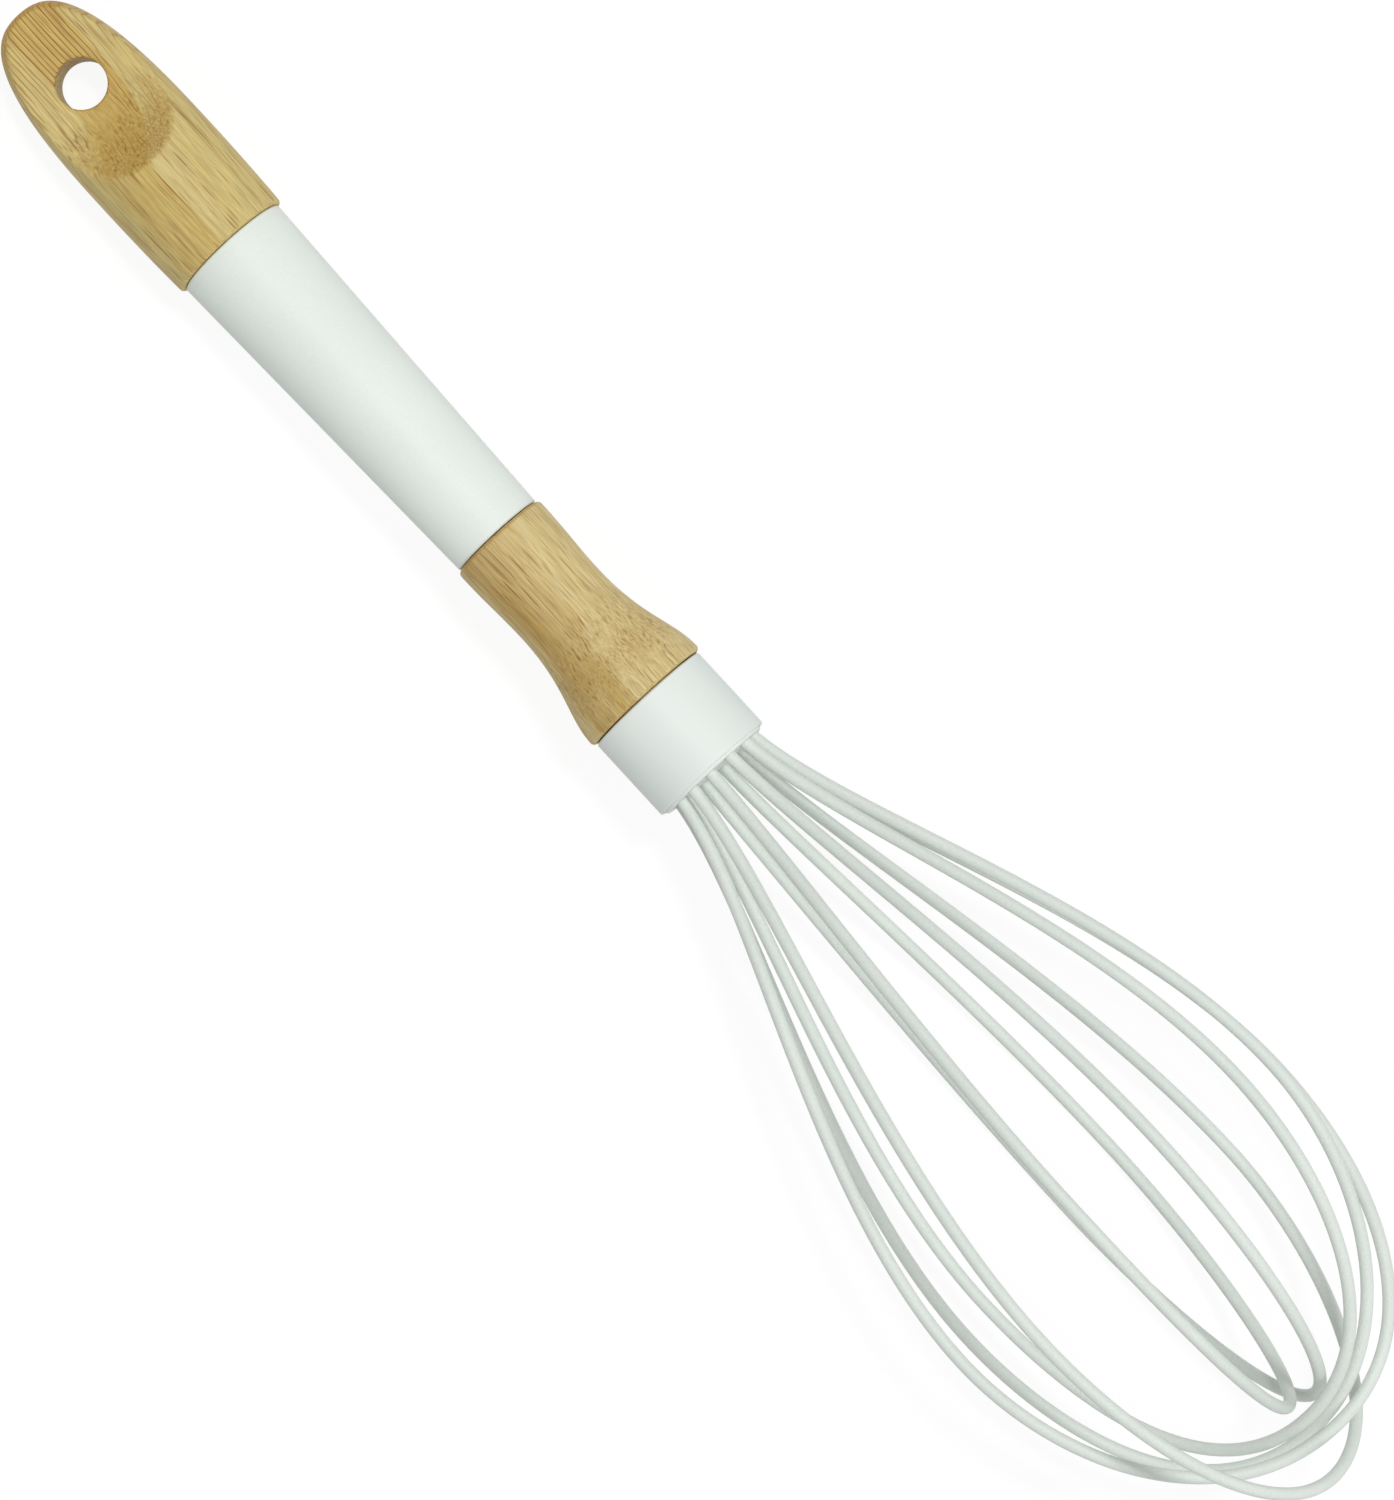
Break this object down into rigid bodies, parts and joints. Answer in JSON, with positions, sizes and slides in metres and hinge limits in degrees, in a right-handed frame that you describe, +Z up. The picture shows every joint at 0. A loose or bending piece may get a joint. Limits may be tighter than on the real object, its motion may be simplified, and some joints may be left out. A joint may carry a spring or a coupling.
{
  "type": "balloon whisk",
  "caption": "Hand whisk with silicone-coated wire loops, a white ferrule, a wooden collar, a soft tapered grip and a wooden handle end with a hang hole.",
  "frame": {"origin": "centre of the bottom of the bounding box, on the surface that the whisk lies on", "axes": "+X from the handle end towards the head, +Z up with the whisk lying on its side, flats of the handle end up and down"},
  "size_m": [0.3112, 0.0706, 0.0708],
  "materials": {
    "wood": "satin",
    "grip_silicone": "matte",
    "wire_silicone": "matte",
    "white_plastic": "satin",
    "core_plastic": "matte",
    "steel": "satin"
  },
  "bodies": {
    "root": {"handle_end": "wood", "wood_collar": "wood", "grip_sleeve": "grip_silicone", "grip_core": "core_plastic", "tie_rod": "steel", "rod_washer": "steel", "rod_nut": "steel", "ferrule": "white_plastic", "wire_guide": "white_plastic", "wire_anchor": "core_plastic", "wire_coat_1": "wire_silicone", "wire_coat_2": "wire_silicone", "wire_coat_3": "wire_silicone", "wire_coat_4": "wire_silicone", "wire_coat_5": "wire_silicone", "wire_coat_6": "wire_silicone", "wire_core_1": "steel", "wire_core_2": "steel", "wire_core_3": "steel", "wire_core_4": "steel", "wire_core_5": "steel", "wire_core_6": "steel"}
  },
  "joints": []
}
